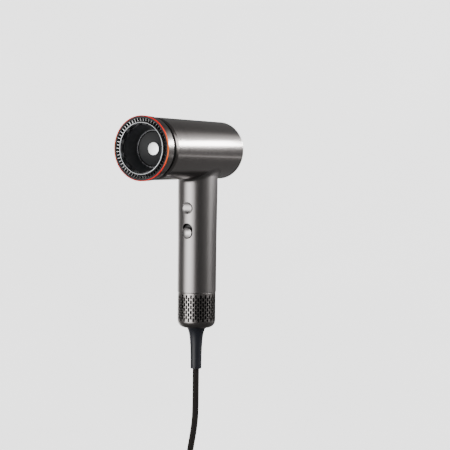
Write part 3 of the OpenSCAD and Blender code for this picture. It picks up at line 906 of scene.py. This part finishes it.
# ---------------------------------------------------------------- filter cover and boot
def make_cover():
    """The perforated sleeve: staggered upright slots with round ends, and a plain rounded cap below."""
    R, RI = SLEEVE_R, SLEEVE_IN_R
    cols, rows, pitch = 48, 5, 5.6
    w, h, q = 2.15, 4.5, 0.5        # a slot's width, height and corner radius
    z_top = -32.05
    z_low = z_top - (rows + 0.5) * pitch
    da = TAU / cols
    verts, faces = [], []
    index = {}

    def vert(a, z, r):
        key = (round((a % TAU) / da * 4096) % (4096 * cols), round(z * 1000), r)
        if key not in index:
            index[key] = len(verts)
            verts.append((r * math.cos(a), r * math.sin(a), z))
        return index[key]

    def border(ac, z0, z1, up):
        """Points round a tile, anticlockwise from the lower left: 4, up, 4 and up steps."""
        a0, a1 = ac - da / 2, ac + da / 2
        pts = [(a0 + (a1 - a0) * k / 4, z0) for k in range(4)]
        pts += [(a1, z0 + (z1 - z0) * k / up) for k in range(up)]
        pts += [(a1 - (a1 - a0) * k / 4, z1) for k in range(4)]
        pts += [(a0, z1 - (z1 - z0) * k / up) for k in range(up)]
        return pts

    def hole(ac, z0, z1):
        """A rounded rectangle with as many points as a border with 8 steps up."""
        zc, hx, hz = (z0 + z1) / 2, w / 2, h / 2
        c = q * (1 - math.sqrt(0.5))
        side = [-hz + q + (2 * hz - 2 * q) * k / 6 for k in range(7)]
        pts = [(-hx + c, -hz + c), (-hx + q, -hz), (0, -hz), (hx - q, -hz), (hx - c, -hz + c)]
        pts += [(hx, t) for t in side]
        pts += [(hx - c, hz - c), (hx - q, hz), (0, hz), (-hx + q, hz), (-hx + c, hz - c)]
        pts += [(-hx, t) for t in reversed(side)]
        return [(ac + x / R, zc + z) for x, z in pts]

    def slot_tile(ac, z0, z1):
        b, hl = border(ac, z0, z1, 8), hole(ac, z0, z1)
        n = len(b)
        for r, flip in ((R, False), (RI, True)):
            for k in range(n):
                j = (k + 1) % n
                f = [vert(*b[k], r), vert(*b[j], r), vert(*hl[j], r), vert(*hl[k], r)]
                faces.append(tuple(f if not flip else reversed(f)))
        for k in range(n):
            j = (k + 1) % n
            faces.append((vert(*hl[k], R), vert(*hl[j], R), vert(*hl[j], RI), vert(*hl[k], RI)))

    def half_tile(ac, z0, z1):
        for r, flip in ((R, False), (RI, True)):
            c = [vert(a, z, r) for a, z in border(ac, z0, z1, 4)]
            faces.append(tuple(c if not flip else reversed(c)))

    def arc(radius, degrees):
        """The cap's rounded edge, outside or inside."""
        return [(R - 8 + radius * math.cos(math.radians(t)), -62 - radius * math.sin(math.radians(t)))
                for t in degrees]

    for c in range(cols):
        ac = c * da
        off = pitch / 2 if c % 2 else 0
        if off:
            half_tile(ac, z_top - off, z_top)
        for k in range(rows):
            z1 = z_top - off - k * pitch
            slot_tile(ac, z1 - pitch, z1)
        if not off:
            half_tile(ac, z_low, z_top - rows * pitch)
    rim = [(R, z_top), (R, -31.0), (R - 0.12, -30.7), (R - 0.35, -30.6), (RI, -30.6), (RI, z_top)]
    cap = arc(8, range(0, 91, 6)) + [(12.0, -70), (11.6, -69.85), (11.5, -69.6), (11.5, -68.6)]
    cap += arc(6.6, range(90, -1, -10))
    cap = [(R, z_low)] + [p for p in cap if p[1] < z_low - 0.3] + [(RI, z_low)]
    for c in range(cols):
        for k in range(4):
            a0, a1 = (c - 0.5) * da + da * k / 4, (c - 0.5) * da + da * (k + 1) / 4
            for prof in (rim, cap):
                for (ra, za), (rb, zb) in zip(prof, prof[1:]):
                    faces.append((vert(a0, za, ra), vert(a1, za, ra), vert(a1, zb, rb), vert(a0, zb, rb)))
    ob = new_object("intake_cover", verts, faces, 40, M["cover"])
    wall_normals(ob, lambda z: R, -62.05, -30.95)
    return ob


put(make_cover(), "filter_cover", "handle", "filter_cover")
BOOT = [(3.6, -116.4), (5.6, -116.4, 0.3), (6.15, -116.0, 0.4), (6.2, -109), (6.32, -101), (6.6, -92),
        (7.1, -84), (7.7, -79), (8.45, -75.5), (9.3, -73), (10.1, -71.3), (10.8, -70.2), (11, -69.8, 0.2),
        (11, -66), (6.9, -66), (6.9, -63), (3.6, -63)]


def resample(pts, lo, hi, count):
    """Puts count points at even steps along a profile in place of points lo to hi."""
    mid = np.array([p[:2] for p in pts[lo:hi + 1]])
    t = np.r_[0, np.cumsum(np.linalg.norm(np.diff(mid, axis=0), axis=1))]
    even = [(float(np.interp(v, t, mid[:, 0])), float(np.interp(v, t, mid[:, 1])))
            for v in np.linspace(0, t[-1], count)]
    return pts[:lo] + even + pts[hi + 1:]


put(lathe("boot", resample(BOOT, 3, 11, 24), on_handle, 96, smooth=50, mat=M["rubber"]), "dryer",
    "soft_rubber", "strain_relief")

# ---------------------------------------------------------------- finishes on the CAD pieces that stay
FINISH = {
    "led_board": "board", "rear_plate": "dark", "rear_screws": "steel", "heater_sleeve": "mica",
    "heater_mount": "dark", "heater_frame": "mica", "heater_coil": "wire", "thermostat": "dark",
    "thermal_fuse": "white", "ion_emitter": "white", "inner_frame": "dark", "control_board": "board",
    "board_chips": "dark", "mains_capacitor": "blue", "tact_switch": "dark", "slide_switch": "dark",
    "head_leads": "red", "motor_housing": "dark", "motor_mounts": "rubber", "motor_stator": "copper",
    "bearings": "steel", "rotor_shaft": "steel", "impeller": "alu", "intake_core": "dark",
    "filter_mesh": "sieve", "catch_ring": "steel", "cover_magnets": "steel", "cable_clamp": "dark",
    "clamp_screws": "steel", "cord_root": "braid",
}
for name, key in FINISH.items():
    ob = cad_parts[name]
    ob.data.materials.clear()
    ob.data.materials.append(M[key])


# ---------------------------------------------------------------- floor, backdrop and lights
def stage_plane():
    """A pale floor that sweeps up into a backdrop all round."""
    floor_z, flat_r, sweep_r, sweep_z = -0.46, 1.4, 1.6, 1.14       # metres
    prof = [(0.0, floor_z), (flat_r, floor_z)]
    prof += [(flat_r + sweep_r * math.sin(math.radians(t)), sweep_z - sweep_r * math.cos(math.radians(t)))
             for t in range(8, 91, 8)] + [(3.0, 4.0)]
    n = 96
    verts, faces = [(0, 0, prof[0][1])], []
    for r, z in prof[1:]:
        verts += [(r * math.cos(TAU * k / n), r * math.sin(TAU * k / n), z) for k in range(n)]
    for k in range(n):
        faces.append((0, 1 + k, 1 + (k + 1) % n))
    for i in range(len(prof) - 2):
        for k in range(n):
            j = (k + 1) % n
            faces.append((1 + i * n + k, 1 + (i + 1) * n + k, 1 + (i + 1) * n + j, 1 + i * n + j))
    me = bpy.data.meshes.new("backdrop")
    me.from_pydata(verts, [], faces)
    me.update()
    ob = bpy.data.objects.new("backdrop", me)
    bpy.context.scene.collection.objects.link(ob)
    me.shade_smooth()
    m = bpy.data.materials.new("pale_paper")
    nt, b = nodes_of(m)
    nz = stretched_noise(nt, (0.002,) * 3, 2.0, 0.5)
    c = ramp(nt, nz, [(0.3, (0.86, 0.86, 0.86)), (0.7, (0.9, 0.9, 0.9))])
    link(nt, c, b.inputs["Base Color"])
    link(nt, c, b.inputs["Emission Color"])
    b.inputs["Emission Strength"].default_value = 2.4
    b.inputs["Roughness"].default_value = 0.9
    me.materials.append(m)
    ob.visible_glossy = False
    ob.visible_diffuse = False
    ob.visible_shadow = False


stage_plane()


def area(name, pos, target, size, power):
    d = bpy.data.lights.new(name, "AREA")
    d.shape = "RECTANGLE"
    d.size, d.size_y = size
    d.energy = power
    ob = bpy.data.objects.new(name, d)
    bpy.context.scene.collection.objects.link(ob)
    p, t = Vector(pos), Vector(target)
    ob.location = p
    ob.rotation_euler = (t - p).to_track_quat("-Z", "Y").to_euler()
    return ob


key = area("key", (-0.47, -1.54, 0.02), (0, 0, 0.04), (0.55, 0.45), 2.8)
strip = area("barrel_strip", (0.262, 0.300, 0.222), (0.033, -0.04, 0.127), (0.22, 0.07), 1.8)
key.visible_camera = strip.visible_camera = False


AMBIENT = 0.085
# azimuth, full and zero half-widths, then four elevations: fade in, full, full, fade out; strength
SOFT_BOXES = [
    (-107, 8, 36, -30, -7, 3, 16, 5.6),
    (57, 14, 30, 6, 13, 15, 36, 1.5),
    (57, 14, 30, -14.4, -13, -12.2, -10.8, 1.2),
    (27, 5, 15, 1, 7, 18, 32, 6.0),
    (20, 4, 24, -14, -1, 0, 40, 0.36),
    (165, 10, 34, -50, -30, 40, 70, 0.3),
    (88, 24, 46, -60, -40, 24, 55, 0.08),
    (144, 8, 22, -34, -14, 22, 44, 2.6),
    (0, 14, 32, 9, 18, 32, 52, 2.6),
    (180, 14, 32, 9, 18, 32, 52, 2.6),
    (-107, 180, 181, 66, 85, 91, 95, 1.5),
    (-107, 180, 181, -95, -91, -85, -62, 0.7),
]


def studio_world():
    """Soft boxes against a dark room: smooth patches of light placed by azimuth and elevation."""
    w = bpy.data.worlds.new("studio")
    bpy.context.scene.world = w
    w.use_nodes = True
    nt = w.node_tree
    bg = nt.nodes["Background"]
    tc = nt.nodes.new("ShaderNodeTexCoord")
    nrm = nt.nodes.new("ShaderNodeVectorMath")
    nrm.operation = "NORMALIZE"
    nt.links.new(tc.outputs["Generated"], nrm.inputs[0])
    sep = nt.nodes.new("ShaderNodeSeparateXYZ")
    nt.links.new(nrm.outputs[0], sep.inputs[0])

    def math_node(op, x, y=None):
        n = nt.nodes.new("ShaderNodeMath")
        n.operation = op
        for i, v in enumerate((x, y)):
            if v is None:
                continue
            if isinstance(v, (int, float)):
                n.inputs[i].default_value = v
            else:
                nt.links.new(v, n.inputs[i])
        return n.outputs[0]

    def soft(v, lo, hi):
        n = nt.nodes.new("ShaderNodeMapRange")
        n.interpolation_type = "SMOOTHERSTEP"
        nt.links.new(v, n.inputs["Value"])
        n.inputs["From Min"].default_value = lo
        n.inputs["From Max"].default_value = hi
        return n.outputs[0]

    x, y, z = sep.outputs
    xy_squared = math_node("ADD", math_node("MULTIPLY", x, x), math_node("MULTIPLY", y, y))
    flat = math_node("MAXIMUM", math_node("SQRT", xy_squared), 1e-4)
    el = math_node("MULTIPLY", math_node("ARCSINE", z), 180 / math.pi)

    def patch(az, full, none, el_a, el_b, el_c, el_d, power):
        """Full light within +-full degrees of az and between el_b and el_c, fading to none."""
        az, full, none = (math.radians(v) for v in (az, full, none))
        dot = math_node("ADD", math_node("MULTIPLY", x, math.cos(az)), math_node("MULTIPLY", y, math.sin(az)))
        h = soft(math_node("DIVIDE", dot, flat), math.cos(none), math.cos(full))
        v = math_node("MULTIPLY", soft(el, el_a, el_b), math_node("SUBTRACT", 1.0, soft(el, el_c, el_d)))
        return math_node("MULTIPLY", math_node("MULTIPLY", h, v), power)

    total = AMBIENT
    for args in SOFT_BOXES:
        total = math_node("ADD", total, patch(*args))
    nt.links.new(total, bg.inputs["Strength"])
    bg.inputs["Color"].default_value = (1.0, 0.985, 0.975, 1)


studio_world()
